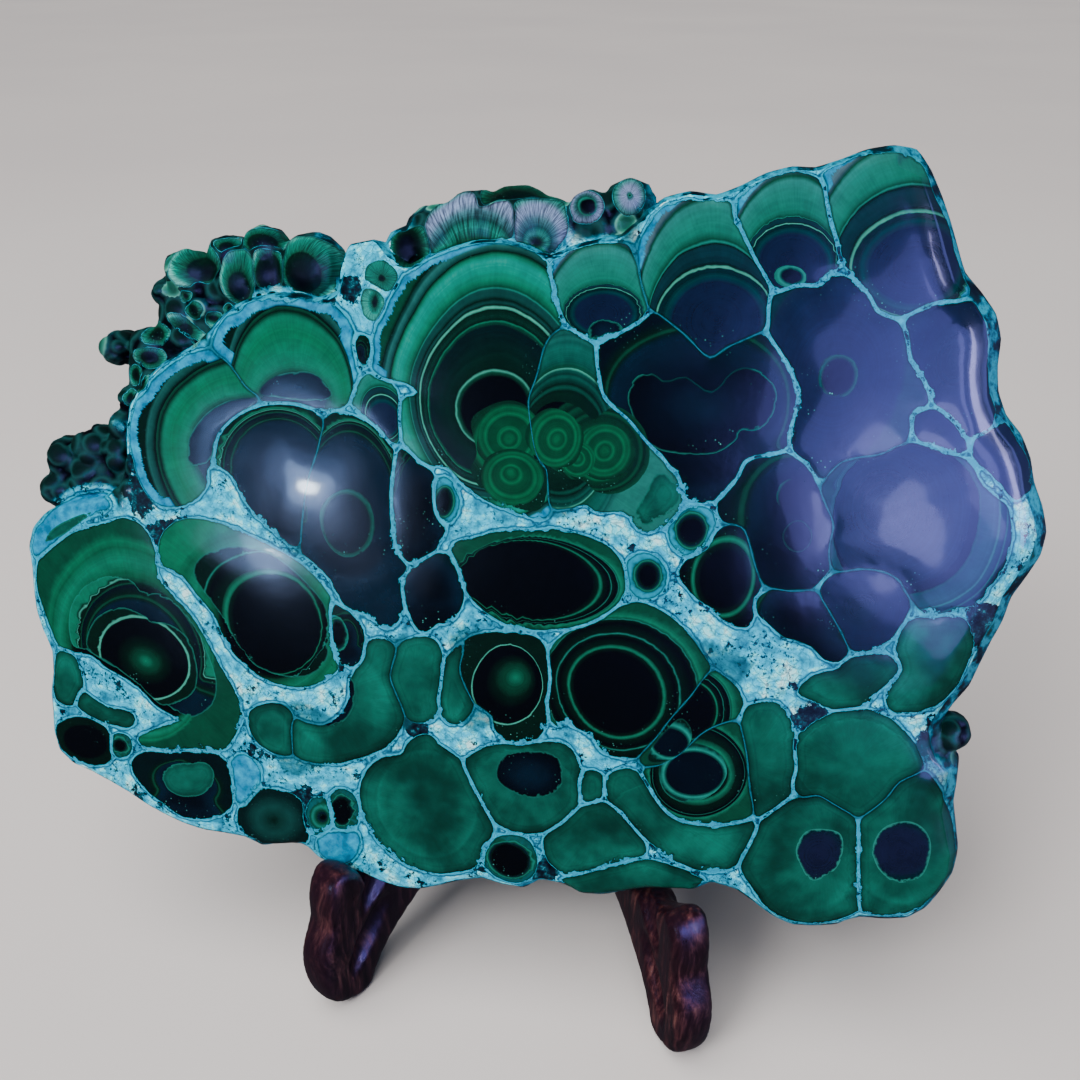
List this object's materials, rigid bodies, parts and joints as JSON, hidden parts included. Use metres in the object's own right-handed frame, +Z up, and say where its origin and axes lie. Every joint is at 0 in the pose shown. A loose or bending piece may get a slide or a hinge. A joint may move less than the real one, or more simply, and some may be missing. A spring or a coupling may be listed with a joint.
{
  "type": "chrysocolla specimen",
  "caption": "Polished upright mineral slab with grape-like natural rims, leaning in the notches of a carved wooden stand.",
  "frame": {"origin": "middle of the bounding box, on the plane that the stand's feet rest on", "axes": "+Z up, +X along the slab's width (to its right as seen from the front), the slab's polished face towards -Y and leaning back"},
  "size_m": [0.168, 0.0638, 0.1449],
  "materials": {
    "polished_malachite": "polished malachite with bright blue chrysocolla veins and natural rims",
    "dark_rosewood": "dark carved rosewood with a satin polish"
  },
  "bodies": {
    "root": {"slab": "polished_malachite", "left_board": "dark_rosewood", "right_board": "dark_rosewood", "rear_wedge": "dark_rosewood"}
  },
  "joints": []
}
